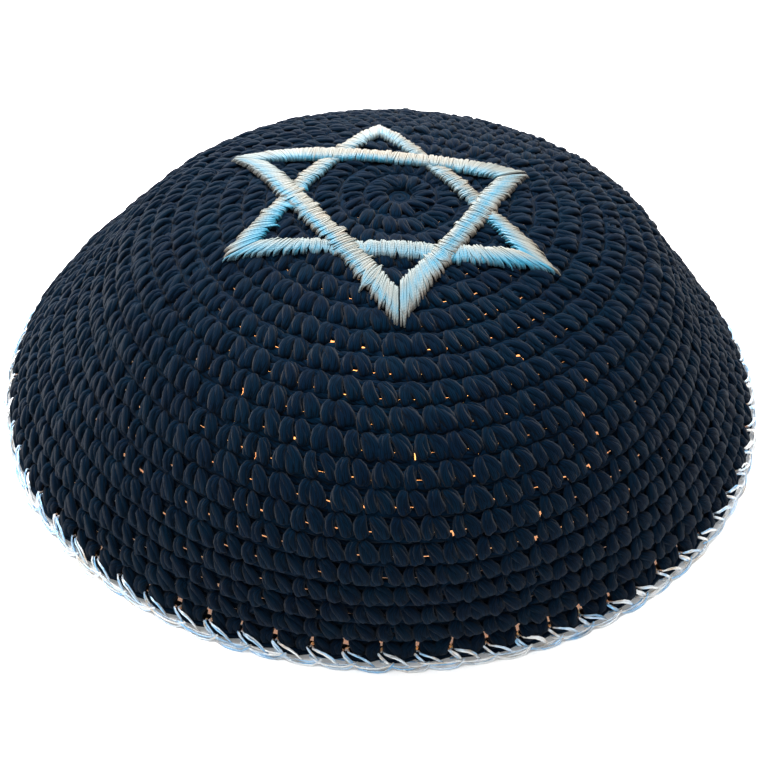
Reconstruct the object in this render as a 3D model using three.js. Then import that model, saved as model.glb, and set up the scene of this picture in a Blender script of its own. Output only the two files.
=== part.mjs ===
// A crocheted skullcap with an embroidered six-pointed star, standing on its rim.
// Millimetres, +Z up, front towards -Y, origin in the middle of the surface that the cap stands on.
import * as THREE from "three";

// The yarn shell
const rimWidth = 152.4;
const rimDepth = 149;
const crownHeight = 48; // from the yarn rim up to the crown
const crownToRight = 2; // how far the crown's middle lies off the rim's middle
const crownToFront = 5;
const wallThickness = 3.2; // from the top of a round of stitches to the inside
const roundCount = 21;
const ribDepth = 1.1; // how deep the valley between two rounds is
const dimpleRadius = 1.7; // the hole drawn tight at the crown, where the work starts
const dimpleDepth = 2;

// The metallic thread crocheted round the rim
const edgeHeight = 1.6;
const edgeWidth = 3.4;
const edgeProud = 1; // how far the thread stands outside the yarn
const edgeRounding = 0.5;

// The satin-stitched star
const starRadius = 32;
const starBarWidth = 4.2;
const starRise = 1.1;

const clearance = 0.3; // between any two pieces that touch
const facetsRound = 48; // facets round the cap
const insideRings = 14;
const starStep = 4.5; // length of one facet along a bar of the star

// How steeply the wall falls, in degrees, on each side of the cap. The first column is the share of
// the way from the crown to the rim, measured along the wall.
const wallFall = [
  { along: 0, right: 0, back: 0, left: 0, front: 0 },
  { along: 0.2, right: 3, back: 12, left: 5, front: 3 },
  { along: 0.4, right: 18, back: 23, left: 14, front: 14 },
  { along: 0.6, right: 61, back: 35, left: 53, front: 42 },
  { along: 0.8, right: 56, back: 58, left: 46, front: 81 },
  { along: 1, right: 63, back: 54, left: 65, front: 88 },
];

// The plump section of one round of stitches, as shares of the round's height and of ribDepth.
const roundSection = [
  { along: 0, depth: 1 },
  { along: 0.3, depth: 0.1 },
  { along: 0.7, depth: 0 },
];

// Tips of the two triangles of the star, right and back of the crown, as shares of starRadius.
const overTips = {
  front: { right: 0.02, back: -1.07 },
  backLeft: { right: -1.02, back: 0.5 },
  backRight: { right: 0.74, back: 0.27 },
};
const underTips = {
  left: { right: -0.96, back: -0.55 },
  right: { right: 0.89, back: -0.6 },
  back: { right: -0.14, back: 0.86 },
};

const yarn = new THREE.MeshStandardMaterial({ color: 0x10161f, roughness: 0.95, metalness: 0 });
const satin = new THREE.MeshStandardMaterial({ color: 0xcfd6d8, roughness: 0.4, metalness: 0.3 });
const tinsel = new THREE.MeshStandardMaterial({ color: 0xaeb8c0, roughness: 0.35, metalness: 0.7 });

const rimLevel = edgeHeight + clearance;
const rimReach = {
  right: rimWidth / 2 - crownToRight,
  left: rimWidth / 2 + crownToRight,
  back: rimDepth / 2 + crownToFront,
  front: rimDepth / 2 - crownToFront,
};

// A value given on four sides, blended smoothly to any bearing. Bearing 0 is the right, 90 the back.
function blendSides(sides, bearing) {
  const mean = (sides.right + sides.left + sides.back + sides.front) / 4;
  const acrossShare = (sides.right + sides.left - sides.back - sides.front) / 4;
  return (
    mean +
    ((sides.right - sides.left) / 2) * Math.cos(bearing) +
    ((sides.back - sides.front) / 2) * Math.sin(bearing) +
    acrossShare * Math.cos(2 * bearing)
  );
}

function fallAt(along, bearing) {
  const next = Math.max(1, wallFall.findIndex((row) => row.along >= along));
  const [a, b] = [wallFall[next - 1], wallFall[next]];
  const blend = (along - a.along) / (b.along - a.along);
  return THREE.MathUtils.lerp(blendSides(a, bearing), blendSides(b, bearing), blend);
}

// The wall's course from crown to rim at one bearing: its length, and at even steps along it how far
// out and down it has gone, each as a share of the whole.
function wallCourse(bearing) {
  const steps = 80;
  const reach = blendSides(rimReach, bearing);
  const out = [0];
  const down = [0];
  for (let step = 0; step < steps; step++) {
    const fall = THREE.MathUtils.degToRad(fallAt((step + 0.5) / steps, bearing));
    out.push(out[step] + Math.cos(fall));
    down.push(down[step] + Math.sin(fall));
  }
  return {
    bearing,
    reach,
    length: (reach * steps) / out[steps],
    out: out.map((value) => value / out[steps]),
    down: down.map((value) => value / down[steps]),
  };
}

function readCourse(values, along) {
  const place = along * (values.length - 1);
  const step = Math.min(Math.floor(place), values.length - 2);
  return THREE.MathUtils.lerp(values[step], values[step + 1], place - step);
}

// A point of the cap's form. The form shrinks by inset on every side, so that all the skins of the
// wall end on the rim's level: inset 0 is the top of the rounds, and wallThickness is the inside.
function wallPoint(course, along, inset) {
  const reach = (course.reach - inset) * readCourse(course.out, along);
  const height = (crownHeight - inset) * (1 - readCourse(course.down, along));
  return new THREE.Vector3(
    crownToRight + reach * Math.cos(course.bearing),
    -crownToFront + reach * Math.sin(course.bearing),
    rimLevel + height,
  );
}

// The point straight above or below (x, y) on the form that lies outset outside the rounds' tops.
function pointOverWall({ x, y }, outset) {
  const course = wallCourse(Math.atan2(y + crownToFront, x - crownToRight));
  const share = Math.hypot(x - crownToRight, y + crownToFront) / (course.reach + outset);
  const last = course.out.length - 1;
  const step = Math.min(Math.max(1, course.out.findIndex((value) => value >= share)), last);
  const blend = (share - course.out[step - 1]) / (course.out[step] - course.out[step - 1]);
  const down = THREE.MathUtils.lerp(course.down[step - 1], course.down[step], blend);
  return new THREE.Vector3(x, y, rimLevel + (crownHeight + outset) * (1 - down));
}

// A closed solid skinned over rings of points. Its ends are joined to each other, or closed by caps.
function skinOver(rings, endsJoined) {
  const count = rings[0].length;
  const points = rings.flat();
  const faces = [];
  const stretches = endsJoined ? rings.length : rings.length - 1;
  for (let ring = 0; ring < stretches; ring++) {
    const here = ring * count;
    const next = ((ring + 1) % rings.length) * count;
    for (let i = 0; i < count; i++) {
      const j = (i + 1) % count;
      faces.push(here + i, next + i, next + j, here + i, next + j, here + j);
    }
  }
  if (!endsJoined) {
    for (const [ring, turned] of [[0, false], [rings.length - 1, true]]) {
      const middle = new THREE.Vector3();
      rings[ring].forEach((point) => middle.addScaledVector(point, 1 / count));
      points.push(middle);
      for (let i = 0; i < count; i++) {
        const j = (i + 1) % count;
        const edge = [ring * count + i, ring * count + j];
        faces.push(points.length - 1, ...(turned ? edge.reverse() : edge));
      }
    }
  }
  const geometry = new THREE.BufferGeometry().setFromPoints(points);
  geometry.setIndex(faces);
  if (volumeOf(points, faces) < 0) {
    geometry.setIndex(faces.reverse());
  }
  geometry.computeVertexNormals();
  return geometry;
}

function volumeOf(points, faces) {
  let sum = 0;
  for (let i = 0; i < faces.length; i += 3) {
    const [a, b, c] = [points[faces[i]], points[faces[i + 1]], points[faces[i + 2]]];
    sum += a.dot(new THREE.Vector3().crossVectors(b, c)) / 6;
  }
  return sum;
}

function bearings() {
  return Array.from({ length: facetsRound }, (_, i) => (i / facetsRound) * 2 * Math.PI);
}

// The shell of yarn: the dimple, then the rounds out to the rim, then the plain inside back up.
function crochetDome() {
  const courses = bearings().map(wallCourse);
  const ringAt = (fromDimple, inset) =>
    courses.map((course) => {
      const along = THREE.MathUtils.lerp(dimpleRadius / course.length, 1, fromDimple);
      return wallPoint(course, along, inset);
    });
  const rings = [courses.map((course) => wallPoint(course, dimpleRadius / 2 / course.length, dimpleDepth))];
  for (let round = 0; round < roundCount; round++) {
    for (const { along, depth } of roundSection) {
      rings.push(ringAt((round + along) / roundCount, depth * ribDepth));
    }
  }
  rings.push(ringAt(1, ribDepth / 2));
  for (let ring = 0; ring < insideRings; ring++) {
    rings.push(ringAt(1 - ring / insideRings, wallThickness));
  }
  return skinOver(rings, false);
}

// The ring of metallic thread under the rim, flat below, where the cap stands.
function edgeTrim() {
  const section = [
    { out: -edgeRounding, up: 0 },
    { out: 0, up: edgeHeight / 2 },
    { out: -edgeRounding, up: edgeHeight },
    { out: edgeRounding - edgeWidth, up: edgeHeight },
    { out: -edgeWidth, up: edgeHeight / 2 },
    { out: edgeRounding - edgeWidth, up: 0 },
  ];
  const rings = bearings().map((bearing) =>
    section.map(({ out, up }) => {
      const reach = blendSides(rimReach, bearing) + edgeProud + out;
      const x = crownToRight + reach * Math.cos(bearing);
      return new THREE.Vector3(x, -crownToFront + reach * Math.sin(bearing), up);
    }),
  );
  return skinOver(rings, true);
}

function tipPlace({ right, back }) {
  return new THREE.Vector2(crownToRight + right * starRadius, -crownToFront + back * starRadius);
}

// One side of a triangle as a line seen from above, moved inwards by the given distance.
function sideLine(from, to, inwards, middle) {
  const direction = to.clone().sub(from).normalize();
  const normal = new THREE.Vector2(-direction.y, direction.x);
  if (middle.clone().sub(from).dot(normal) < 0) {
    normal.negate();
  }
  return { start: from.clone().addScaledVector(normal, inwards), direction };
}

function meet(a, b) {
  const between = b.start.clone().sub(a.start);
  const t = between.cross(b.direction) / a.direction.cross(b.direction);
  return a.start.clone().addScaledVector(a.direction, t);
}

function middleOf(tips) {
  const sum = new THREE.Vector2();
  tips.forEach((tip) => sum.addScaledVector(tip, 1 / tips.length));
  return sum;
}

// A raised band of satin stitch along a path seen from above. Each stop of the path gives the band's
// outer and inner edge there; the band lies on the wall and is highest along its middle.
function satinBand(stops, endsJoined) {
  const rings = [];
  const spans = endsJoined ? stops.length : stops.length - 1;
  for (let i = 0; i < spans; i++) {
    const [a, b] = [stops[i], stops[(i + 1) % stops.length]];
    const parts = Math.max(1, Math.round(a.outer.distanceTo(b.outer) / starStep));
    for (let part = 0; part < parts; part++) {
      rings.push(bandSection(a, b, part / parts));
    }
  }
  if (!endsJoined) {
    rings.push(bandSection(stops[spans - 1], stops[spans], 1));
  }
  return skinOver(rings, endsJoined);
}

function bandSection(a, b, blend) {
  const outer = a.outer.clone().lerp(b.outer, blend);
  const inner = a.inner.clone().lerp(b.inner, blend);
  const shoulder = 0.6 * starRise;
  return [
    pointOverWall(outer, clearance),
    pointOverWall(outer, clearance + shoulder),
    pointOverWall(outer.clone().lerp(inner, 0.5), clearance + starRise),
    pointOverWall(inner, clearance + shoulder),
    pointOverWall(inner, clearance),
  ];
}

// Outer and inner corner of a triangle's band at one tip.
function bandCorner(tip, others, middle) {
  const sides = others.map((other) => sideLine(tip, other, starBarWidth, middle));
  return { outer: tip, inner: meet(sides[0], sides[1]) };
}

const over = {
  front: tipPlace(overTips.front),
  backLeft: tipPlace(overTips.backLeft),
  backRight: tipPlace(overTips.backRight),
};
const under = {
  left: tipPlace(underTips.left),
  right: tipPlace(underTips.right),
  back: tipPlace(underTips.back),
};
const starMiddle = middleOf([...Object.values(over), ...Object.values(under)]);

// The sides of the upper triangle, named by where they cross the lower one.
const overSides = {
  left: [over.front, over.backLeft],
  right: [over.front, over.backRight],
  back: [over.backLeft, over.backRight],
};

function starOverTriangle() {
  const tips = Object.values(over);
  const stops = tips.map((tip) => bandCorner(tip, tips.filter((other) => other !== tip), starMiddle));
  return satinBand(stops, true);
}

// Where a side of the lower triangle ends against a side of the upper one.
function bandEnd(from, to, stopSide, stopInwards) {
  const stop = sideLine(...overSides[stopSide], stopInwards, starMiddle);
  return {
    outer: meet(sideLine(from, to, 0, starMiddle), stop),
    inner: meet(sideLine(from, to, starBarWidth, starMiddle), stop),
  };
}

function starUnderTip(name) {
  const tip = under[name];
  const others = Object.values(under).filter((other) => other !== tip);
  const corner = bandCorner(tip, others, starMiddle);
  return satinBand(
    [bandEnd(tip, others[0], name, -clearance), corner, bandEnd(tip, others[1], name, -clearance)],
    false,
  );
}

function starUnderBar(fromName, toName) {
  const [from, to] = [under[fromName], under[toName]];
  const inside = starBarWidth + clearance;
  return satinBand(
    [bandEnd(from, to, fromName, inside), bandEnd(from, to, toName, inside)],
    false,
  );
}

const cap = new THREE.Group();

function addPiece(name, geometry, material) {
  const mesh = new THREE.Mesh(geometry, material);
  mesh.name = name;
  cap.add(mesh);
}

addPiece("crochet_dome", crochetDome(), yarn);
addPiece("edge_trim", edgeTrim(), tinsel);
addPiece("star_over_triangle", starOverTriangle(), satin);
for (const name of Object.keys(under)) {
  addPiece(`star_under_tip_${name}`, starUnderTip(name), satin);
}
addPiece("star_under_bar_front", starUnderBar("left", "right"), satin);
addPiece("star_under_bar_left", starUnderBar("left", "back"), satin);
addPiece("star_under_bar_right", starUnderBar("right", "back"), satin);

export default cap;
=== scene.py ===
import math
import bpy
import numpy as np
from mathutils import Matrix, Vector


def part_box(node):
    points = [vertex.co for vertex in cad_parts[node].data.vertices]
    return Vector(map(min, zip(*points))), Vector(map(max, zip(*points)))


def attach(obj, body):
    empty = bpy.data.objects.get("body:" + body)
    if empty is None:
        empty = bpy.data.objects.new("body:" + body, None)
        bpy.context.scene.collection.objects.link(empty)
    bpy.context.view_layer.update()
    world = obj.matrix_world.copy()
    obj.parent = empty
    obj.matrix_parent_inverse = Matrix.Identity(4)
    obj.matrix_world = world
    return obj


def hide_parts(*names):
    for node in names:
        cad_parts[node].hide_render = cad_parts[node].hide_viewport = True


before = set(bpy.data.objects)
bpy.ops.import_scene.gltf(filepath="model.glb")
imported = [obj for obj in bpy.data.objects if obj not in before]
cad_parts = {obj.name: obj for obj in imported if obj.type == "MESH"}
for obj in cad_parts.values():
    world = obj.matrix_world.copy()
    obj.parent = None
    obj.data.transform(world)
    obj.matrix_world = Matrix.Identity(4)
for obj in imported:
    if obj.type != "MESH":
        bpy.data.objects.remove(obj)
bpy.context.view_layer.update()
bpy.ops.object.select_all(action="DESELECT")

# The view: from in front and above, at arm's length, with the camera turned a little about its own
# line of sight. The lens is worked out from the focal length, which was found in pixels. Sizes are
# in mm throughout, and MM turns them to metres.
MM = 0.001
view_distance = 320
view_elevation = math.radians(43.63)
view_roll = math.radians(2.17)
focal_pixels = 1554.4
frame_pixels = 768
looked_at = Vector((0.42, -5.0, 1.89))

towards_camera = Vector((0, -math.cos(view_elevation), math.sin(view_elevation)))
level_up = Vector((0, math.sin(view_elevation), math.cos(view_elevation)))
level_right = Vector((1, 0, 0))
camera_right = math.cos(view_roll) * level_right + math.sin(view_roll) * level_up
camera_up = math.cos(view_roll) * level_up - math.sin(view_roll) * level_right
camera_data = bpy.data.cameras.new("front_view")
camera_data.lens = camera_data.sensor_width * focal_pixels / frame_pixels
camera_data.clip_start = 10 * MM
camera = bpy.data.objects.new("front_view", camera_data)
turned = Matrix((camera_right, camera_up, towards_camera)).transposed().to_4x4()
camera.matrix_world = Matrix.Translation((looked_at + view_distance * towards_camera) * MM) @ turned
bpy.context.collection.objects.link(camera)
bpy.context.scene.camera = camera


# The floor: one wide sheet of matt white paper board that only carries the cap. It lies on a lit
# table, which keeps it white right up to the rim.
floor_size = 6000
table_glow = 0.15


def linear_colour(hex_text):
    """An sRGB hex colour as linear red, green, blue and alpha."""
    shares = [int(hex_text[i:i + 2], 16) / 255 for i in (1, 3, 5)]
    return [c / 12.92 if c <= 0.04045 else ((c + 0.055) / 1.055) ** 2.4 for c in shares] + [1]


def new_material(name):
    """A material that has no nodes yet."""
    material = bpy.data.materials.new(name)
    material.use_nodes = True
    material.node_tree.nodes.clear()
    return material


def add_node(material, kind, inputs, **settings):
    """Adds one node. Each input is a number or colour to set, or another node's socket to link."""
    tree = material.node_tree
    made = tree.nodes.new(kind)
    for name, value in settings.items():
        setattr(made, name, value)
    for name, value in inputs.items():
        if isinstance(value, bpy.types.NodeSocket):
            tree.links.new(value, made.inputs[name])
        else:
            made.inputs[name].default_value = value
    return made


# Uncoated board: matt, with a very faint mottle from the paper's fibres, a few millimetres wide.
board = new_material("uncoated_white_board")
place = add_node(board, "ShaderNodeTexCoord", {}).outputs["Object"]
mottle_mm = 4
mottle = add_node(board, "ShaderNodeTexNoise", {"Vector": place, "Scale": 1 / (mottle_mm * MM)})
shade = add_node(board, "ShaderNodeMix", {
    "Factor": mottle.outputs["Fac"],
    "A": linear_colour("#f4f4f4"),
    "B": linear_colour("#fafafa"),
}, data_type="RGBA")
shader = add_node(board, "ShaderNodeBsdfPrincipled", {
    "Base Color": shade.outputs["Result"],
    "Roughness": 0.9,
    "IOR": 1.45,
    "Emission Color": linear_colour("#ffffff"),
    "Emission Strength": table_glow,
})
add_node(board, "ShaderNodeOutputMaterial", {"Surface": shader.outputs["BSDF"]})

bpy.ops.mesh.primitive_plane_add(size=floor_size * MM, location=(0, 0, 0))
floor = bpy.context.object
floor.name = "floor"
floor.data.materials.append(board)


# The light: an even white surround and two wide soft panels, one high above the cap and one behind
# it. A small warm lamp inside the cap stands for the light that reaches the floor there.
surround_strength = 0.45
surround = bpy.data.worlds.new("white_surround")
surround.use_nodes = True
background = surround.node_tree.nodes["Background"]
background.inputs["Color"].default_value = linear_colour("#ffffff")
background.inputs["Strength"].default_value = surround_strength
bpy.context.scene.world = surround
bpy.context.scene.view_settings.view_transform = "Standard"


def add_panel(name, place, aim, width, watts, colour):
    """A square soft light at a place, turned towards the point it is aimed at. All in mm."""
    data = bpy.data.lights.new(name, "AREA")
    data.size = width * MM
    data.energy = watts
    data.color = linear_colour(colour)[:3]
    panel = bpy.data.objects.new(name, data)
    turn = (Vector(place) - Vector(aim)).to_track_quat("Z", "Y").to_matrix().to_4x4()
    panel.matrix_world = Matrix.Translation(Vector(place) * MM) @ turn
    bpy.context.collection.objects.link(panel)


add_panel("sky_panel", (-180, 300, 950), (0, 0, 20), 900, 28, "#ffffff")
add_panel("back_panel", (-250, 950, 480), (0, 0, 30), 700, 25, "#ffffff")
add_panel("inside_glow", (0, -5, 30), (0, -5, 0), 50, 0.07, "#ff9c48")


# The cap's form, which the yarn, the star and the edging all lie on. The wall falls from the crown
# to the rim by a different course on each side; the falls are in degrees, at shares of the way down.
edge_low, edge_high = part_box("edge_trim")
edge_proud = 1
wall_above_edge = 0.3
edge_height = (edge_high.z - edge_low.z) / MM
rim_width = (edge_high.x - edge_low.x) / MM - 2 * edge_proud
rim_depth = (edge_high.y - edge_low.y) / MM - 2 * edge_proud
rim_level = edge_height + wall_above_edge
crown_height = 48
crown_to_right = 2
crown_to_front = 5
crown_rise = 1.3
crown_share = 0.36
crown_steepness = 6
round_count = 21
dimple_radius = 1.7
fall_along = (0, 0.2, 0.4, 0.6, 0.8, 1)
fall_right = (0, 3, 18, 61, 56, 63)
fall_back = (0, 12, 23, 35, 58, 54)
fall_left = (0, 5, 14, 53, 46, 65)
fall_front = (0, 3, 14, 42, 81, 88)


def blend_sides(right, back, left, front, bearing):
    """Blends a value given on four sides to any bearing. Bearing 0 is the right, 90 the back."""
    across_share = (right + left - back - front) / 4
    return (
        (right + left + back + front) / 4
        + (right - left) / 2 * np.cos(bearing)
        + (back - front) / 2 * np.sin(bearing)
        + across_share * np.cos(2 * bearing)
    )


def rim_reach(bearing):
    """How far the rim lies from the crown's middle."""
    return blend_sides(
        rim_width / 2 - crown_to_right,
        rim_depth / 2 + crown_to_front,
        rim_width / 2 + crown_to_right,
        rim_depth / 2 - crown_to_front,
        bearing,
    )


# The wall's course at every degree round and at even steps down it: how far out and how far down it
# has come, as shares of the whole, and how long it is.
course_steps = 80
course_bearings = np.radians(np.arange(361))[:, None]
step_middles = (np.arange(course_steps) + 0.5) / course_steps
falls = np.radians(blend_sides(
    *(np.interp(step_middles, fall_along, side)[None, :]
      for side in (fall_right, fall_back, fall_left, fall_front)),
    course_bearings,
))
course_out = np.cumsum(np.pad(np.cos(falls), ((0, 0), (1, 0))), axis=1)
course_down = np.cumsum(np.pad(np.sin(falls), ((0, 0), (1, 0))), axis=1)
course_length = rim_reach(course_bearings[:, 0]) * course_steps / course_out[:, -1]
course_out = course_out / course_out[:, -1:]
course_down = course_down / course_down[:, -1:]


def read_course(table, bearing, along):
    """Reads a table of the wall's course between its bearings and steps."""
    turn = np.degrees(bearing) % 360
    row = np.minimum(turn.astype(int), 359)
    step = np.clip(along * course_steps, 0, course_steps)
    column = np.minimum(step.astype(int), course_steps - 1)
    row_part, part = turn - row, step - column
    first = table[row, column] * (1 - part) + table[row, column + 1] * part
    second = table[row + 1, column] * (1 - part) + table[row + 1, column + 1] * part
    return first * (1 - row_part) + second * row_part


def crown_swell(along):
    """How far the crown, pushed up from inside, stands above the course of the falls."""
    return crown_rise * np.exp(-((along / crown_share) ** crown_steepness))


def wall_point(bearing, round_place, lift):
    """Points on the cap, in mm. A place of 3.5 is halfway down the fourth round of stitches, and a
    lift is the height above the tops of the rounds, so that the inside lies at about -3.2."""
    bearing, round_place, lift = np.broadcast_arrays(bearing, round_place, lift)
    length = np.interp(np.degrees(bearing) % 360, np.arange(361), course_length)
    dimple = dimple_radius / length
    along = dimple + (1 - dimple) * round_place / round_count
    past_rim = np.maximum(along - 1, 0) * length
    reach = (rim_reach(bearing) + lift) * read_course(course_out, bearing, along)
    height = (crown_height + lift) * (1 - read_course(course_down, bearing, along)) - past_rim
    return np.stack((
        crown_to_right + reach * np.cos(bearing),
        -crown_to_front + reach * np.sin(bearing),
        rim_level + height + crown_swell(along),
    ), axis=-1)


def point_over_wall(x, y, lift):
    """The points straight above or below (x, y) that lie a lift above the tops of the rounds."""
    bearing = np.arctan2(y + crown_to_front, x - crown_to_right)
    share = np.hypot(x - crown_to_right, y + crown_to_front) / (rim_reach(bearing) + lift)
    turn = np.degrees(bearing) % 360
    row = np.minimum(turn.astype(int), 359)
    part = (turn - row)[..., None]
    out = course_out[row] * (1 - part) + course_out[row + 1] * part
    column = np.clip((out < share[..., None]).sum(axis=-1), 1, course_steps)
    before = np.take_along_axis(out, column[..., None] - 1, axis=-1)[..., 0]
    after = np.take_along_axis(out, column[..., None], axis=-1)[..., 0]
    along = (column - 1 + (share - before) / (after - before)) / course_steps
    height = (crown_height + lift) * (1 - read_course(course_down, bearing, along))
    return np.stack((x, y, rim_level + height + crown_swell(along)), axis=-1)


# The crocheted yarn: soft black cotton of many strands, worked in 21 rounds of single crochet from
# the crown outwards. Each stitch shows two plump legs of three plies that fan from the hole it was
# worked through, over a strand that joins the round's roots, with two bars across the inside.
stitch_counts = (7, 12, 17, 22, 28, 33, 38, 43, 47, 52, 56, 60, 65, 70, 75, 76, 76, 74, 72, 70, 70)
last_round = round_count - 1
full_stitch_width = 5.7
least_plump = 0.72
most_plump = 1.05
rng = np.random.default_rng(21)

# The rounds are counted off from the front, three quarters of a turn from the right. The first hole
# lies a share of a stitch before it, and each next round's a little further.
front_turn = 0.75
first_hole = 0.51
hole_shift = 0.228

# The course of a leg across a stitch. Down and across are shares of the round's height and of the
# stitch's width; lift is above the tops of the rounds, and the half width and height are in mm. In
# the last round the legs spread apart, pulled open by the edging's thread that passes between them.
leg_down = np.array((0.17, 0.26, 0.43, 0.68, 0.93, 1.06))
leg_lift = np.array((-1.6, -1.05, -0.87, -0.83, -1.0, -1.5))
leg_half_height = np.array((0.5, 0.72, 0.8, 0.82, 0.78, 0.55))
left_leg = {
    "across": np.array((-0.04, -0.10, -0.14, -0.13, -0.06, 0.0)),
    "last_across": np.array((-0.11, -0.19, -0.26, -0.29, -0.27, -0.22)),
    "half_width": np.array((0.6, 1.02, 1.25, 1.4, 1.42, 1.2)),
}
right_leg = {
    "across": np.array((0.08, 0.18, 0.30, 0.41, 0.47, 0.47)),
    "last_across": np.array((0.14, 0.22, 0.30, 0.37, 0.40, 0.40)),
    "half_width": np.array((0.6, 1.12, 1.45, 1.62, 1.6, 1.35)),
}

# How much the stitches differ from one another: in thickness, in how far each leg leans, sways and
# sags, all as shares, and in its lift, in mm.
thickness_spread = 0.06
lean_spread = 0.035
sway_spread = 0.03
sag_spread = 0.03
lift_spread = 0.12

# Each leg is a soft yarn of plies. Their offset and their size are shares of the leg's own.
ply_count = 3
ply_twist = 0.3
ply_offset = 0.4
ply_share = 0.64
strand_sides = 6

# The strand that joins the roots of a round. A hole shows where it is pulled down, at a growing
# share of the stitches down the wall. In the last round it rises at the holes instead, and leaves
# them free for the edging's thread.
root_points = 6
root_level = 0.02
root_half_width = 0.95
root_half_height = 0.7
root_dip = 0.58
root_dip_sharpness = 5
least_opened = 0.35
last_root_rise = 0.3
open_rounds = (0, 6, 10, 20)
open_shares = (0, 0.08, 0.38, 0.6)

# The bars of each stitch across the inside. On the crown, which is worked tighter, they and the root
# strand lie higher and fill the gaps between the legs. The last round has three narrow bars.
bar_across = np.array((-0.58, -0.3, 0.05, 0.4, 0.68))
bar_down = np.array((0.06, 0, -0.02, 0, 0.06))
bar_half_width = np.array((0.6, 0.95, 1.0, 0.95, 0.6))
bar_flatness = 0.85
bar_levels = (0.31, 0.60)
last_bar_levels = (0.34, 0.64, 0.92)
last_bar_spans = (0.4, 0.45, 0.5)
last_bar_middle = 0.52
fill_rounds = (0, 1, 8, 14)
root_lifts = (-2.2, -1.65, -1.65, -1.6)
bar_lifts = (-1.6, -1.5, -1.5, -2.05)


def outward(bearing, place):
    """The directions that stand straight up from the wall at points of it."""
    turn, step = 0.01, 0.1
    along_round = wall_point(bearing + turn, place, 0) - wall_point(bearing - turn, place, 0)
    down_wall = wall_point(bearing, place + step, 0) - wall_point(bearing, place - step, 0)
    up = np.cross(down_wall, along_round)
    return up / np.linalg.norm(up, axis=-1, keepdims=True)


# Each open end of a strand closes in a point, past the end by a share of the half width. The map of
# the strand runs on over it by this many mm.
tip_share = 0.35
tip_map = 0.3


def lay_strands(centres, ups, half_width, half_height, sides, joined=False):
    """Strands with an oval section along many paths at once. Gives their vertices, their faces and
    the place of each face's corner round and along its strand, in mm. Arrays are paths by points."""
    count, points = centres.shape[:2]
    if joined:
        tangent = np.roll(centres, -1, axis=1) - np.roll(centres, 1, axis=1)
    else:
        tangent = np.gradient(centres, axis=1)
    tangent /= np.linalg.norm(tangent, axis=-1, keepdims=True)
    ups = ups - (ups * tangent).sum(axis=-1, keepdims=True) * tangent
    ups /= np.linalg.norm(ups, axis=-1, keepdims=True)
    sideways = np.cross(tangent, ups)
    angles = np.arange(sides) / sides * 2 * np.pi
    half_width = np.broadcast_to(half_width, (count, points))[..., None, None]
    half_height = np.broadcast_to(half_height, (count, points))[..., None, None]
    skin = (
        centres[:, :, None]
        + half_width * np.cos(angles)[:, None] * sideways[:, :, None]
        + half_height * np.sin(angles)[:, None] * ups[:, :, None]
    )

    # The faces, as quads between each point's ring and the next.
    first = np.arange(count)[:, None, None] * (points * sides)
    spans = points if joined else points - 1
    here = first + np.arange(spans)[:, None] * sides
    onward = first + (np.arange(spans)[:, None] + 1) % points * sides
    side = np.arange(sides)
    beside = (side + 1) % sides
    quads = np.stack((here + side, here + beside, onward + beside, onward + side), axis=-1)
    faces = quads.reshape(-1, 4).tolist()

    # The places of the faces' corners, unrolled from the strand as a flat strip.
    gaps = np.linalg.norm(np.diff(centres, axis=1), axis=-1)
    if joined:
        closing = np.linalg.norm(centres[:, :1] - centres[:, -1:], axis=-1)
        gaps = np.concatenate((gaps, closing), axis=1)
    along = np.concatenate((np.zeros((count, 1)), np.cumsum(gaps, axis=1)), axis=1)
    girth = 2 * np.pi * half_width.max()
    start = np.broadcast_to(along[:, :spans, None], (count, spans, sides))
    end = np.broadcast_to(along[:, 1:spans + 1, None], (count, spans, sides))
    low = np.broadcast_to(side / sides * girth, (count, spans, sides))
    high = low + girth / sides
    corners = np.stack((low, start, high, start, high, end, low, end), axis=-1).reshape(-1, 2)
    skin = skin.reshape(-1, 3)

    # The points that close the two ends of an open strand.
    if not joined:
        tips = np.concatenate((
            centres[:, 0] - tip_share * half_width[:, 0, 0] * tangent[:, 0],
            centres[:, -1] + tip_share * half_width[:, -1, 0] * tangent[:, -1],
        ))
        tip = len(skin) + np.arange(count)[:, None]
        root = np.arange(count)[:, None] * (points * sides)
        near = np.stack((tip + 0 * side, root + beside, root + side), axis=-1)
        last = root + (points - 1) * sides
        far = np.stack((tip + count + 0 * side, last + side, last + beside), axis=-1)
        faces += near.reshape(-1, 3).tolist() + far.reshape(-1, 3).tolist()
        middle = np.broadcast_to((side + 0.5) / sides * girth, (count, sides))
        right = np.broadcast_to((side + 1) / sides * girth, (count, sides))
        left = np.broadcast_to(side / sides * girth, (count, sides))
        head = np.zeros((count, sides))
        tail = np.broadcast_to(along[:, -1:], (count, sides))
        near_corners = np.stack((middle, head - tip_map, right, head, left, head), axis=-1)
        far_corners = np.stack((middle, tail + tip_map, left, tail, right, tail), axis=-1)
        corners = np.concatenate((corners, near_corners.reshape(-1, 2), far_corners.reshape(-1, 2)))
        skin = np.concatenate((skin, tips))
    return skin, faces, corners


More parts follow.
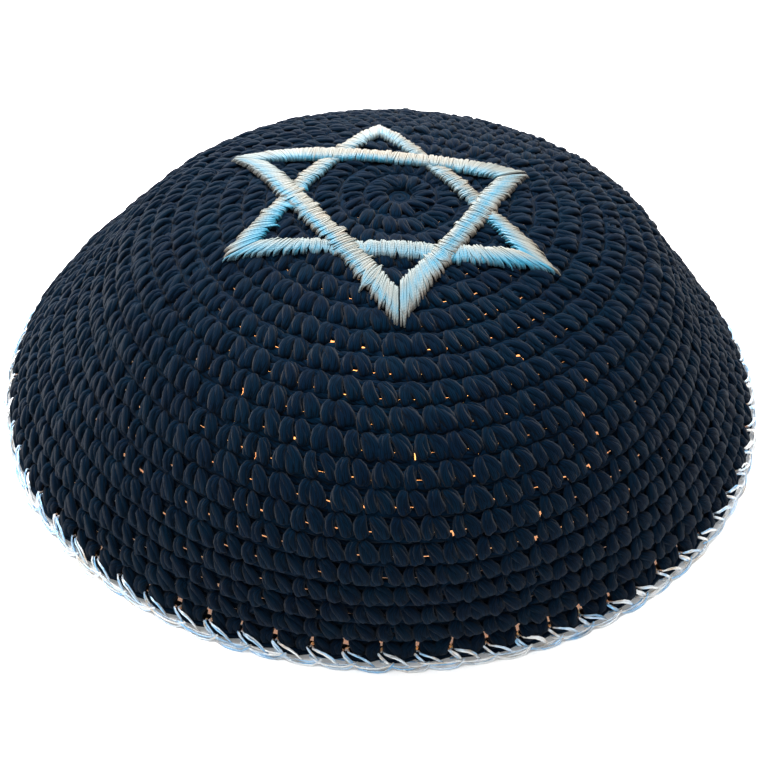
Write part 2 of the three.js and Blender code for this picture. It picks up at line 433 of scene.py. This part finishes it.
def make_piece(name, strands, material, colours=None):
    """Joins strands into one smooth mesh, with its place on each strand as the map named strand."""
    skins, all_faces, corners, base = [], [], [], 0
    for skin, faces, places in strands:
        skins.append(skin)
        all_faces += [[base + index for index in face] for face in faces]
        corners.append(places)
        base += len(skin)
    mesh = bpy.data.meshes.new(name)
    mesh.from_pydata(np.concatenate(skins) * MM, [], all_faces)
    strand_map = mesh.uv_layers.new(name="strand")
    strand_map.data.foreach_set("uv", np.concatenate(corners).astype(np.float32).ravel())
    mesh.polygons.foreach_set("use_smooth", np.ones(len(mesh.polygons), bool))
    if colours is not None:
        tint = mesh.attributes.new("tint", "FLOAT_COLOR", "POINT")
        tint.data.foreach_set("color", colours.astype(np.float32).ravel())
    mesh.materials.append(material)
    mesh.validate()
    piece = bpy.data.objects.new(name, mesh)
    bpy.context.collection.objects.link(piece)
    return piece


def hole_bearings(number):
    """The bearings of the holes that one round's stitches fan from, and the width of a stitch."""
    count = stitch_counts[number]
    width = 2 * np.pi / count
    phase = front_turn * count - first_hole - hole_shift * number
    return (np.arange(count) + phase % 1) * width, width


def lay_plies(centres, ups, half_width, half_height, turn):
    """A soft yarn as plies that twist round each other. Turn is the angle at which they start."""
    tangent = np.gradient(centres, axis=1)
    sideways = np.cross(tangent, ups)
    sideways /= np.linalg.norm(sideways, axis=-1, keepdims=True)
    along = np.linspace(0, 1, centres.shape[1])
    plies = []
    for ply in range(ply_count):
        angle = turn + 2 * np.pi * (ply / ply_count + ply_twist * along)
        middle = (
            centres
            + ply_offset * (half_width * np.cos(angle))[..., None] * sideways
            + ply_offset * (half_height * np.sin(angle))[..., None] * ups
        )
        plies.append(lay_strands(
            middle, ups, ply_share * half_width, ply_share * half_height, strand_sides))
    return plies


def round_strand(place, lift, half_width, half_height, points, start):
    """One strand that runs all the way round the cap. The place may change along it."""
    turn = np.arange(points) / points * 2 * np.pi + start
    return lay_strands(
        wall_point(turn, place, lift)[None], outward(turn, place)[None],
        half_width, half_height, strand_sides, joined=True)


def lay_legs(number, holes, width):
    """The two legs of each stitch of one round, whose number counts from 0 at the crown."""
    each = (len(holes), 1)
    neighbours = wall_point(holes[:2], number + 0.5, 0)
    room = np.linalg.norm(neighbours[1] - neighbours[0]) / full_stitch_width
    plump = np.clip(room, least_plump, most_plump)
    plump = plump * (1 + thickness_spread * rng.standard_normal(each))
    strands = []
    for leg in (left_leg, right_leg):
        across = leg["last_across"] if number == last_round else leg["across"]
        lean = lean_spread * rng.standard_normal(each)
        sway = sway_spread * rng.standard_normal(each) * np.linspace(-1, 1, len(leg_down))
        sag = sag_spread * rng.standard_normal(each)
        thickness = plump * (1 + thickness_spread * rng.standard_normal(each))
        bearing = holes[:, None] + (across + lean + sway) * width
        place = number + leg_down + sag
        lift = leg_lift + lift_spread * rng.standard_normal(each)
        turn = rng.uniform(0, 2 * np.pi, each)
        strands += lay_plies(
            wall_point(bearing, place, lift), outward(bearing, place),
            thickness * leg["half_width"], thickness * leg_half_height, turn)
    return strands


def lay_roots(number, holes):
    """The strand that joins the roots of one round."""
    count = len(holes)
    open_share = np.interp(number, open_rounds, open_shares)
    opened = np.where(rng.random(count) < open_share, rng.uniform(least_opened, 1, count), 0)
    if number == last_round:
        opened = np.full(count, -last_root_rise)
    turn = np.arange(root_points) / root_points * 2 * np.pi
    near_hole = np.exp(root_dip_sharpness * (np.cos(turn) - 1))
    dip = root_dip * opened[:, None] * near_hole
    lift = np.interp(number, fill_rounds, root_lifts)
    return round_strand(
        number + root_level + dip.ravel(), lift, root_half_width, root_half_height,
        root_points * count, holes[0])


def lay_bars(number, holes, width):
    """The bars of each stitch of one round across the inside."""
    courses = [(level, bar_across) for level in bar_levels]
    if number == last_round:
        courses = [
            (level, last_bar_middle + span * bar_across)
            for level, span in zip(last_bar_levels, last_bar_spans)
        ]
    lift = np.interp(number, fill_rounds, bar_lifts)
    strands = []
    for level, across in courses:
        bearing = holes[:, None] + across * width
        place = number + level + bar_down
        strands.append(lay_strands(
            wall_point(bearing, place, lift), outward(bearing, place),
            bar_half_width, bar_flatness * bar_half_width, strand_sides))
    return strands


# The start of the work closes the dimple in the crown. Along the rim lie the two loops of each
# stitch of the last round, one outside and one inside, from which no more stitches were worked.
start_ring = {
    "place": -0.2,
    "lift": -2.2,
    "half_width": 0.95,
    "half_height": 0.75,
    "points": 12,
    "start": 0,
}
loop_across = np.array((-0.2, 0.05, 0.35, 0.65, 0.95, 1.15))
loop_down = np.array((0.86, 1.04, 1.12, 1.12, 1.04, 0.9))
loop_half_width = np.array((0.5, 0.8, 0.9, 0.9, 0.8, 0.5))
loop_flatness = 0.85
loop_sag_spread = 0.02
outer_loop_lift = np.array((-1.7, -1.0, -0.8, -0.8, -1.0, -1.7))
inner_loop_lift = np.array((-1.9, -2.3, -2.4, -2.4, -2.3, -1.9))


def lay_rim_loops():
    """The outer and the inner loop of each stitch along the rim."""
    holes, width = hole_bearings(last_round)
    each = (len(holes), 1)
    strands = []
    for loop_lift in (outer_loop_lift, inner_loop_lift):
        bearing = holes[:, None] + loop_across * width
        place = last_round + loop_down + loop_sag_spread * rng.standard_normal(each)
        turn = rng.uniform(0, 2 * np.pi, each)
        strands += lay_plies(
            wall_point(bearing, place, loop_lift), outward(bearing, place),
            loop_half_width, loop_flatness * loop_half_width, turn)
    return strands


# Cotton crochet yarn, softly twisted: fine fibres run along each ply, the deep dye is a little
# uneven from place to place, and loose fibre ends give a dull bloom where it is seen edge-on. Real
# fibres are about 0.02 mm wide, too fine to show, so they are drawn as coarser bundles.
fibre_width_mm = 0.22
fibre_length_mm = 3
fibre_slant = 0.3
dye_patch_mm = 5
yarn = new_material("soft_black_cotton_yarn")
strand_place = add_node(yarn, "ShaderNodeUVMap", {}, uv_map="strand").outputs["UV"]
split = add_node(yarn, "ShaderNodeSeparateXYZ", {"Vector": strand_place})
slant = add_node(yarn, "ShaderNodeMath", {
    0: split.outputs["Y"], 1: fibre_slant, 2: split.outputs["X"],
}, operation="MULTIPLY_ADD")
twisted = add_node(yarn, "ShaderNodeCombineXYZ", {
    "X": slant.outputs["Value"], "Y": split.outputs["Y"],
})
drawn = add_node(yarn, "ShaderNodeMapping", {
    "Vector": twisted.outputs["Vector"],
    "Scale": (1 / fibre_width_mm, 1 / fibre_length_mm, 1),
})
fibres = add_node(yarn, "ShaderNodeTexNoise", {
    "Vector": drawn.outputs["Vector"], "Scale": 1, "Detail": 2,
})
bright_fibres = add_node(yarn, "ShaderNodeMapRange", {
    "Value": fibres.outputs["Fac"], "From Min": 0.35, "From Max": 0.75,
})
bump = add_node(yarn, "ShaderNodeBump", {
    "Height": fibres.outputs["Fac"], "Strength": 0.6, "Distance": 0.2 * MM,
})
yarn_shade = add_node(yarn, "ShaderNodeMix", {
    "Factor": bright_fibres.outputs["Result"],
    "A": linear_colour("#000a14"),
    "B": linear_colour("#032036"),
}, data_type="RGBA")
dye_place = add_node(yarn, "ShaderNodeTexCoord", {}).outputs["Object"]
dye = add_node(yarn, "ShaderNodeTexNoise", {
    "Vector": dye_place, "Scale": 1 / (dye_patch_mm * MM), "Detail": 3,
})
dye_spread = add_node(yarn, "ShaderNodeMapRange", {
    "Value": dye.outputs["Fac"], "From Min": 0.35, "From Max": 0.65,
})
dyed = add_node(yarn, "ShaderNodeMix", {
    "Factor": dye_spread.outputs["Result"],
    "A": linear_colour("#88ecec"),
    "B": linear_colour("#ffd0dc"),
}, data_type="RGBA")
yarn_colour = add_node(yarn, "ShaderNodeMix", {
    "Factor": 1.0, "A": yarn_shade.outputs["Result"], "B": dyed.outputs["Result"],
}, data_type="RGBA", blend_type="MULTIPLY")
shader = add_node(yarn, "ShaderNodeBsdfPrincipled", {
    "Base Color": yarn_colour.outputs["Result"],
    "Roughness": 0.9,
    "IOR": 1.5,
    "Specular IOR Level": 0.02,
    "Sheen Weight": 0.06,
    "Sheen Roughness": 0.48,
    "Sheen Tint": linear_colour("#e8e6e4"),
    "Normal": bump.outputs["Normal"],
})
add_node(yarn, "ShaderNodeOutputMaterial", {"Surface": shader.outputs["BSDF"]})

# The crochet is one piece of work, made here as four bands of rounds to keep each mesh light. Each
# band is given by its first round and the round after its last.
bands = {
    "crochet_crown": (0, 10),
    "crochet_shoulder": (10, 14),
    "crochet_wall": (14, 18),
    "crochet_rim": (18, 21),
}
for name, (start, stop) in bands.items():
    strands = []
    for number in range(start, stop):
        holes, stitch_width = hole_bearings(number)
        strands += lay_legs(number, holes, stitch_width)
        strands.append(lay_roots(number, holes))
        strands += lay_bars(number, holes, stitch_width)
    if start == 0:
        strands.append(round_strand(**start_ring))
    if stop == round_count:
        strands += lay_rim_loops()
    band = make_piece(name, strands, yarn)
    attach(band, "root")
    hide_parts("crochet_dome")


# The star: two triangles of satin stitch in rayon thread, worked over the yarn by machine. Each
# thread runs across its bar, dives into the yarn at both ragged edges, and shifts on the way from
# cream to a painted sky blue reflection, with a painted beige reflection at its outer end. The upper
# triangle lies whole; the lower one passes under it in six places.
thread_spacing = 0.28
thread_half_width = 0.17
thread_half_height = 0.12
thread_sides = 5

# The course of a thread from its outer end to its inner one, and its height in mm along the way.
thread_shares = np.array((0, 0.08, 0.25, 0.5, 0.75, 0.92, 1))
thread_lifts = np.array((-0.6, -0.02, 0.08, 0.12, 0.08, -0.02, -0.6))

# Where the edges of each bar lie, in mm in from the straight line between its tips, at shares of the
# way from the first tip to the second, and how ragged they are there.
edge_shares = (0, 0.12, 0.3, 0.5, 0.7, 0.88, 1)
bar_edges = {
    "over_left": {
        "outer": (-0.1, -0.7, -0.5, -0.9, -0.8, 0.1, 0.0),
        "inner": (3.9, 3.9, 3.7, 3.4, 3.4, 3.6, 3.8),
        "ragged": (2.2, 2.0, 1.1, 1.0, 1.0, 0.9, 0.6),
    },
    "over_right": {
        "outer": (-0.1, -0.4, -0.4, -0.7, -0.8, -0.6, -0.4),
        "inner": (5.0, 5.0, 3.9, 3.4, 3.7, 3.8, 3.8),
        "ragged": (2.2, 2.0, 1.2, 0.8, 0.7, 0.8, 1.2),
    },
    "over_back": {
        "outer": (-0.5, -1.6, -1.9, -1.5, -1.5, -1.6, -0.8),
        "inner": (2.9, 2.9, 3.0, 2.4, 2.6, 3.2, 3.5),
        "ragged": (0.5, 0.5, 0.5, 0.5, 0.6, 0.6, 0.6),
    },
    "under_front": {
        "outer": (0.0, 0.2, 0.3, -0.4, -0.7, -0.2, 0.0),
        "inner": (3.8, 3.7, 3.7, 3.8, 3.8, 3.8, 3.8),
        "ragged": (1.3, 1.3, 1.3, 0.9, 1.0, 1.3, 1.3),
    },
    "under_left": {
        "outer": (-0.4, -0.8, -0.5, -1.2, -1.0, -0.9, 0.0),
        "inner": (3.5, 3.5, 3.0, 2.2, 2.4, 3.2, 3.3),
        "ragged": (0.9, 0.9, 0.9, 0.8, 0.8, 0.7, 0.7),
    },
    "under_right": {
        "outer": (0.0, 0.0, 0.6, -0.1, 0.5, 0.1, 0.2),
        "inner": (4.0, 4.0, 3.6, 3.3, 3.5, 3.4, 3.5),
        "ragged": (1.0, 1.2, 1.1, 0.9, 0.9, 0.7, 0.7),
    },
}


def corner_of(node, axis, sign):
    """The corner of a CAD node that lies furthest along an axis, seen from above, in mm."""
    spots = [vertex.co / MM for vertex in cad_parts[node].data.vertices]
    furthest = max(spots, key=lambda spot: sign * spot[axis])
    return np.array((furthest.x, furthest.y))


over_tips = {
    "front": corner_of("star_over_triangle", 1, -1),
    "back_left": corner_of("star_over_triangle", 0, -1),
    "back_right": corner_of("star_over_triangle", 0, 1),
}
under_tips = {
    "left": corner_of("star_under_tip_left", 0, -1),
    "right": corner_of("star_under_tip_right", 0, 1),
    "back": corner_of("star_under_tip_back", 1, 1),
}
star_middle = sum(list(over_tips.values()) + list(under_tips.values())) / 6


def inward_of(start, end):
    """The direction across a side, towards the star's middle."""
    side = (end - start) / np.linalg.norm(end - start)
    across = np.array((-side[1], side[0]))
    return across if across @ (star_middle - start) > 0 else -across


def tip_setback(tip, end, other, inner_edge):
    """How far along a side its inner edge starts, where two bars meet at a tip."""
    first = (end - tip) / np.linalg.norm(end - tip)
    second = (other - tip) / np.linalg.norm(other - tip)
    return inner_edge / math.tan(math.acos(first @ second) / 2)


def random_course(length, grain):
    """A course that bends at random between -1 and 1, about every grain of its length."""
    knots = max(2, int(length / grain) + 2)
    values = rng.uniform(-1, 1, knots)
    return lambda x: np.interp(x, np.linspace(0, length, knots), values)


# The threads bunch into clumps about every clump grain along a bar, in mm, wider where the edge is
# more ragged. At an edge each clump draws its threads together and stands out as a tuft, highest in
# its middle, and single threads stray a little further. The inner edges are less ragged.
clump_grain = 1.25
clump_evenness = 4
most_clump_growth = 2
clump_pull = 0.75
most_pull = 1.3
tuft_evenness = 2
tuft_height = 0.16
tuft_taper = 0.35
stray_evenness = 1.2
stray_height = 0.08
edge_inset = 0.2
most_ragged_inside = 0.9


def gather(places, grain):
    """The clump that each thread lies in, counted along the bar, and the middle of its clump."""
    walked = np.cumsum(thread_spacing / grain)
    most_clumps = 2 + int(2 * walked[-1])
    breaks = np.cumsum(rng.gamma(clump_evenness, 1 / clump_evenness, most_clumps))
    clump = np.unique(np.searchsorted(breaks, walked), return_inverse=True)[1]
    middles = np.bincount(clump, places) / np.bincount(clump)
    return clump, middles[clump]


def ragged_ends(places, ragged):
    """How far each thread reaches past an edge of its bar, and how far it is drawn along it."""
    clump, middle = gather(places, clump_grain * np.clip(ragged, 1, most_clump_growth))
    aside = middle - places
    tufts = rng.gamma(tuft_evenness, tuft_height, clump.max() + 1)[clump]
    strays = rng.gamma(stray_evenness, stray_height, len(places))
    height = np.clip(tufts + strays - tuft_taper * np.abs(aside), 0, None)
    drawn = clump_pull * np.minimum(ragged, most_pull) * aside
    return ragged * height - edge_inset, drawn


# Each bar is sewn twice: layer 1 lies lower, half a spacing along, and closes the gaps of layer 0.
# The threads stray from their even places, turn to and fro along the bar, and fan out at the tips,
# as far along as a multiple of the setback of the inner edge.
layer_shift = 0.5
lower_smoothness = 0.5
place_spread = 0.04
lean_reach = 0.35
lean_grain = 5
fan_reach = 2.4


def satin_bar(bar, start, end, other, layer):
    """The courses of the threads across one bar, seen from above, and their shares along it. The
    other point is the third tip of the bar's triangle."""
    length = np.linalg.norm(end - start)
    side = (end - start) / length
    inward = inward_of(start, end)
    edges = bar_edges[bar]
    places = np.arange(
        layer_shift * (1 + layer) * thread_spacing, length, thread_spacing)
    places += rng.normal(0, place_spread, len(places))
    first = tip_setback(start, end, other, edges["inner"][0])
    last = tip_setback(end, start, other, edges["inner"][-1])
    inner_places = np.interp(
        places,
        (0, fan_reach * first, length - fan_reach * last, length),
        (first, fan_reach * first, length - fan_reach * last, length - last),
    )
    inner_places += lean_reach * random_course(length, lean_grain)(places)
    ragged = np.interp(places / length, edge_shares, edges["ragged"])
    ragged = ragged * (1 - lower_smoothness * layer)
    outer_reach, outer_drawn = ragged_ends(places, ragged)
    inner_reach, inner_drawn = ragged_ends(places, np.minimum(ragged, most_ragged_inside))
    outer_edge = np.interp(places / length, edge_shares, edges["outer"])
    inner_edge = np.interp(inner_places / length, edge_shares, edges["inner"])
    outer = start + places[:, None] * side + outer_edge[:, None] * inward
    inner = start + inner_places[:, None] * side + inner_edge[:, None] * inward
    across = inner - outer
    across /= np.linalg.norm(across, axis=1, keepdims=True)
    outer = outer - outer_reach[:, None] * across
    inner = inner + inner_reach[:, None] * across
    near_outer = np.clip(1 - 2 * thread_shares, 0, 1) ** 2
    near_inner = np.clip(2 * thread_shares - 1, 0, 1) ** 2
    drawn = outer_drawn[:, None] * near_outer + inner_drawn[:, None] * near_inner
    courses = (
        outer[:, None]
        + thread_shares[:, None] * (inner - outer)[:, None]
        + drawn[..., None] * side
    )
    return courses, places / length


# Cream and silver are the threads' own colours. Beige and sky blue are painted reflections, and at
# the back left tip more silver stands for painted shade.
satin_cream = np.array(linear_colour("#857f72"))
satin_beige_reflection = np.array(linear_colour("#705c4e"))
satin_silver = np.array(linear_colour("#687474"))
satin_sky_reflection = np.array(linear_colour("#24748f"))

# Where the painted blue reflection runs in each bar, as a share of the way from its outer edge to
# its inner one, how wide it is, how strong it is at the bar's start, middle and end, and how silvery
# the bar is there. At the back left tip the silver is turned up as painted shade.
bar_tints = {
    "over_left": {
        "blue_reflection_at": 0.28,
        "blue_reflection_wide": 0.17,
        "blue": (0.5, 1.15, 0.35),
        "silver_and_shade": (1, 0.2, 1.1),
    },
    "over_right": {
        "blue_reflection_at": 0.50,
        "blue_reflection_wide": 0.25,
        "blue": (0.45, 0.95, 0.55),
        "silver_and_shade": (1, 0.3, 0.6),
    },
    "over_back": {
        "blue_reflection_at": 0.92,
        "blue_reflection_wide": 0.22,
        "blue": (0.6, 0.9, 0.6),
        "silver_and_shade": (1.1, 0, 0.8),
    },
    "under_front": {
        "blue_reflection_at": 0.25,
        "blue_reflection_wide": 0.35,
        "blue": (1.1, 0.6, 1.2),
        "silver_and_shade": (0.8, 0.9, 0.4),
    },
    "under_left": {
        "blue_reflection_at": 0.80,
        "blue_reflection_wide": 0.32,
        "blue": (1.3, 0.7, 0.4),
        "silver_and_shade": (0.9, 0.4, 0.4),
    },
    "under_right": {
        "blue_reflection_at": 0.78,
        "blue_reflection_wide": 0.30,
        "blue": (1.3, 0.6, 0.5),
        "silver_and_shade": (0.4, 0.2, 0.3),
    },
}

# The painted blue reflection wavers in strength and in place along a bar, a painted beige reflection
# comes in at its outer edge, and each thread differs a little in its share of each colour and in how
# dark it is.
blue_waver = 0.35
blue_waver_grain = 0.12
blue_spread = 0.12
centre_waver = 0.08
centre_waver_grain = 0.1
silver_spread = 0.15
beige_reflection_at_edge = 0.5
beige_wide = 0.25
beige_spread = 0.12
shade_spread = 0.05


def satin_tint(bar, places):
    """The colour of each thread of a bar at each share of its length, painted reflections and shade
    included.
    """
    tints = bar_tints[bar]
    stops = (0, 0.5, 1)
    each = (len(places), 1)
    waver = blue_waver * random_course(1, blue_waver_grain)(places)
    strength = np.interp(places, stops, tints["blue"]) * (1 + waver)
    strength = strength + rng.normal(0, blue_spread, len(places))
    centre = tints["blue_reflection_at"] + centre_waver * random_course(1, centre_waver_grain)(places)
    from_centre = (thread_shares - centre[:, None]) / tints["blue_reflection_wide"]
    blue = strength[:, None] * np.exp(-(from_centre ** 2))
    # How silvery each thread is: the thread's own silver, and at the back left tip also painted
    # shade.
    silver_and_shade = np.interp(places, stops, tints["silver_and_shade"])[:, None]
    silver_and_shade = silver_and_shade + rng.normal(0, silver_spread, each)
    beige = beige_reflection_at_edge * np.clip(1 - thread_shares / beige_wide, 0, 1)
    beige = beige + rng.normal(0, beige_spread, each)
    colour = satin_cream
    for amount, towards in ((silver_and_shade, satin_silver), (beige, satin_beige_reflection), (blue, satin_sky_reflection)):
        colour = colour + np.clip(amount, 0, 1)[..., None] * (towards - colour)
    return colour * rng.normal(1, shade_spread, (len(places), 1, 1))


def strand_colours(tint, sides):
    """The colours of strands' vertices, from one colour for each point of their courses."""
    ring = np.repeat(tint.reshape(-1, 4), sides, axis=0)
    return np.concatenate((ring, tint[:, 0], tint[:, -1]))


thread_clearance = 0.14
layer_drop = 0.12
level_spread = 0.03
over_level = 0.22


def satin_threads(bar, courses, places, layer, level):
    """The strands and vertex colours of a bar's threads, laid at a level over the yarn."""
    lift = thread_clearance + level + thread_lifts - layer_drop * layer
    lift = lift + rng.normal(0, level_spread, (len(places), 1))
    centres = point_over_wall(courses[..., 0], courses[..., 1], lift)
    ups = np.zeros_like(centres) + (0, 0, 1)
    strands = lay_strands(centres, ups, thread_half_width, thread_half_height, thread_sides)
    return strands, strand_colours(satin_tint(bar, places), thread_sides)


# Trilobal rayon embroidery thread: smooth, with a soft lustre, a fine twist and no fuzz. A wave
# pattern of scale 1 repeats once in each wave period.
twist_mm = 0.3
wave_period = 2 * math.pi / 20
rayon = new_material("rayon_satin_thread")
thread_tint = add_node(rayon, "ShaderNodeAttribute", {}, attribute_name="tint").outputs["Color"]
thread_place = add_node(rayon, "ShaderNodeUVMap", {}, uv_map="strand").outputs["UV"]
twist_lines = add_node(rayon, "ShaderNodeTexWave", {
    "Vector": thread_place, "Scale": wave_period / twist_mm, "Distortion": 0.5,
}, bands_direction="DIAGONAL")
twist_bump = add_node(rayon, "ShaderNodeBump", {
    "Height": twist_lines.outputs["Fac"], "Strength": 0.4, "Distance": 0.05 * MM,
})
shader = add_node(rayon, "ShaderNodeBsdfPrincipled", {
    "Base Color": thread_tint,
    "Roughness": 0.5,
    "IOR": 1.52,
    "Specular IOR Level": 0.3,
    "Normal": twist_bump.outputs["Normal"],
})
add_node(rayon, "ShaderNodeOutputMaterial", {"Surface": shader.outputs["BSDF"]})

over_sides = {
    "over_left": ("front", "back_left", "back_right"),
    "over_right": ("front", "back_right", "back_left"),
    "over_back": ("back_left", "back_right", "front"),
}
over_strands, over_colours = [], []
for bar, (first, last, other) in over_sides.items():
    for layer in (1, 0):
        courses, places = satin_bar(bar, over_tips[first], over_tips[last], over_tips[other], layer)
        strands, colours = satin_threads(bar, courses, places, layer, over_level)
        over_strands.append(strands)
        over_colours.append(colours)
satin = make_piece("satin_over_triangle", over_strands, rayon, np.concatenate(over_colours))
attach(satin, "root")
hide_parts("star_over_triangle")


def distance_from_over_bars(points):
    """How far points lie outside the upper triangle, and how far inside its opening."""
    outside, inside = [], []
    for bar, (first, last, _) in over_sides.items():
        start, end = over_tips[first], over_tips[last]
        length = np.linalg.norm(end - start)
        share = (points - start) @ (end - start) / length ** 2
        depth = (points - start) @ inward_of(start, end)
        outside.append(np.interp(share, edge_shares, bar_edges[bar]["outer"]) - depth)
        inside.append(depth - np.interp(share, edge_shares, bar_edges[bar]["inner"]))
    return np.max(outside, axis=0), np.min(inside, axis=0)


# The lower triangle's threads go on under the upper one as far as they are tucked in. They lie low
# there, and rise over the stretch beside it.
under_sides = {
    "under_front": ("left", "right", "back"),
    "under_left": ("left", "back", "right"),
    "under_right": ("right", "back", "left"),
}
tucked = 1.2
tucked_level = -0.06
under_rise = 0.2
rise_stretch = 1.5
under_pieces = {}
for bar, (first, last, other) in under_sides.items():
    for layer in (1, 0):
        courses, places = satin_bar(
            bar, under_tips[first], under_tips[last], under_tips[other], layer)
        outside, inside = distance_from_over_bars(courses[:, len(thread_shares) // 2])
        risen = np.clip(np.maximum(outside, inside) / rise_stretch, 0, 1)[:, None]
        level = tucked_level + under_rise * risen
        parts = {
            "tip_" + first: (outside > -tucked) & (places < 0.5),
            "tip_" + last: (outside > -tucked) & (places > 0.5),
            "bar_" + bar.removeprefix("under_"): inside > -tucked,
        }
        for part, chosen in parts.items():
            made = satin_threads(bar, courses[chosen], places[chosen], layer, level[chosen])
            under_pieces.setdefault(part, []).append(made)
for part, made in under_pieces.items():
    colours = np.concatenate([colours for strands, colours in made])
    strands = [strands for strands, colours in made]
    satin = make_piece("satin_under_" + part, strands, rayon, colours)
    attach(satin, "root")
    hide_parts("star_under_" + part)


# The edging: two fine metallic threads held together and crocheted through the last round's holes
# and round the rim. Each stitch shows a short straight leg, a long slanting one, and a loop that
# runs on along the rim to the next stitch.
metal_half_width = 0.24
metal_half_height = 0.12
metal_sides = 6

# Courses of the strands of one stitch: across and down are shares as in the yarn's legs, counted
# from the hole, and lift is above the tops of the rounds, in mm. Each has the same count of points.
metal_points = 7
metal_courses = {
    "straight_leg": {
        "across": (-0.07, -0.06, 0.02, 0.10, 0.18, 0.26, 0.33),
        "down": (0.76, 0.70, 0.78, 0.90, 1.04, 1.20, 1.32),
        "lift": (-1.1, -0.3, 0.1, 0.2, 0.2, 0.2, 0.1),
    },
    "slanting_leg": {
        "across": (0.08, 0.12, 0.27, 0.45, 0.62, 0.76, 0.85),
        "down": (0.76, 0.68, 0.69, 0.78, 0.96, 1.18, 1.36),
        "lift": (-1.1, -0.2, 0.25, 0.35, 0.4, 0.4, 0.2),
    },
    "outer_loop": {
        "across": (0.24, 0.42, 0.66, 0.90, 1.14, 1.30, 1.38),
        "down": (1.18, 1.32, 1.42, 1.43, 1.36, 1.2, 1.1),
        "lift": (0.1, 0.6, 0.95, 1.0, 0.85, 0.5, 0.2),
    },
    "inner_loop": {
        "across": (0.05, 0.25, 0.5, 0.75, 1.0, 1.2, 1.34),
        "down": (1.14, 1.20, 1.24, 1.26, 1.24, 1.2, 1.16),
        "lift": (0.1, 0.45, 0.6, 0.65, 0.7, 0.5, 0.2),
    },
    "under_loop": {
        "across": (0.0, 0.2, 0.45, 0.7, 0.95, 1.1, 1.2),
        "down": (1.3, 1.34, 1.38, 1.38, 1.36, 1.34, 1.3),
        "lift": (-0.8, -1.2, -1.5, -1.6, -1.4, -1.0, -0.6),
    },
    "inside_leg": {
        "across": (0.02, 0.04, 0.12, 0.22, 0.32, 0.4, 0.42),
        "down": (0.74, 0.80, 0.94, 1.06, 1.18, 1.28, 1.34),
        "lift": (-0.9, -1.7, -2.5, -3.1, -3.3, -2.8, -1.8),
    },
}
# Silver and blue are the thread's own colours; the brown is a painted warm reflection.
metal_silver = np.array(linear_colour("#eceff0"))
metal_blue = np.array(linear_colour("#84bce6"))
metal_brown_reflection = np.array(linear_colour("#b09878"))

# How far the two threads lie apart in the middle of a strand, and how far a loose one strays, as
# shares of the stitch across and down and in mm for the lift.
apart_across = 0.025
apart_down = 0.02
apart_lift = 0.12
stray_share = 0.03
stray_lift = 0.12
looseness = 1.3

# How blue the silver is on the whole, and how much the blue and the painted brown reflection change
# from strand to strand and along each one.
blue_amount = 0.35
blue_by_strand = 0.35
blue_along = 0.25
brown_reflection_amount = -0.1
brown_reflection_along = 0.5
most_brown_reflection = 0.9


def metal_tint(strand_blue):
    """The colour at each point of metallic strands, from how blue each strand is, with painted brown
    reflections.
    """
    points = (len(strand_blue), metal_points)
    blue = blue_amount + blue_by_strand * strand_blue + blue_along * rng.normal(0, 1, points)
    brown_reflection = brown_reflection_amount + brown_reflection_along * rng.normal(0, 1, points)
    tint = metal_silver + np.clip(blue, 0, 1)[..., None] * (metal_blue - metal_silver)
    return tint + np.clip(brown_reflection, 0, most_brown_reflection)[..., None] * (metal_brown_reflection - tint)


holes, stitch_width = hole_bearings(last_round)
hump = np.sin(np.linspace(0, np.pi, metal_points))
edge_strands, edge_colours = [], []
for course in metal_courses.values():
    for beside in (-1, 1):
        loose = rng.normal(0, looseness, (4, len(holes), 1))
        across = course["across"] + hump * (apart_across * beside + stray_share * loose[0])
        down = course["down"] + hump * (apart_down * beside + stray_share * loose[1])
        lift = course["lift"] + hump * (apart_lift * beside + stray_lift * loose[2])
        bearing = holes[:, None] + stitch_width * across
        place = last_round + down
        centres = wall_point(bearing, place, lift)
        centres[..., 2] = np.maximum(centres[..., 2], metal_half_width)
        edge_strands.append(lay_strands(
            centres, outward(bearing, place), metal_half_width, metal_half_height, metal_sides))
        edge_colours.append(strand_colours(metal_tint(loose[3]), metal_sides))

# Metallised polyester film wound on a pale core: bright, with narrow facets that repeat along it,
# and only partly metallic, because the core shows between its turns.
facet_mm = 0.5
tinsel = new_material("metallised_film_thread")
film_tint = add_node(tinsel, "ShaderNodeAttribute", {}, attribute_name="tint").outputs["Color"]
film_place = add_node(tinsel, "ShaderNodeUVMap", {}, uv_map="strand").outputs["UV"]
film_turns = add_node(tinsel, "ShaderNodeTexWave", {
    "Vector": film_place, "Scale": wave_period / facet_mm, "Distortion": 1.0,
}, bands_direction="DIAGONAL")
film_bump = add_node(tinsel, "ShaderNodeBump", {
    "Height": film_turns.outputs["Fac"], "Strength": 0.6, "Distance": 0.08 * MM,
})
shader = add_node(tinsel, "ShaderNodeBsdfPrincipled", {
    "Base Color": film_tint,
    "Metallic": 0.3,
    "Roughness": 0.28,
    "Normal": film_bump.outputs["Normal"],
})
add_node(tinsel, "ShaderNodeOutputMaterial", {"Surface": shader.outputs["BSDF"]})
edging = make_piece("metallic_edging", edge_strands, tinsel, np.concatenate(edge_colours))
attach(edging, "root")
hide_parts("edge_trim")
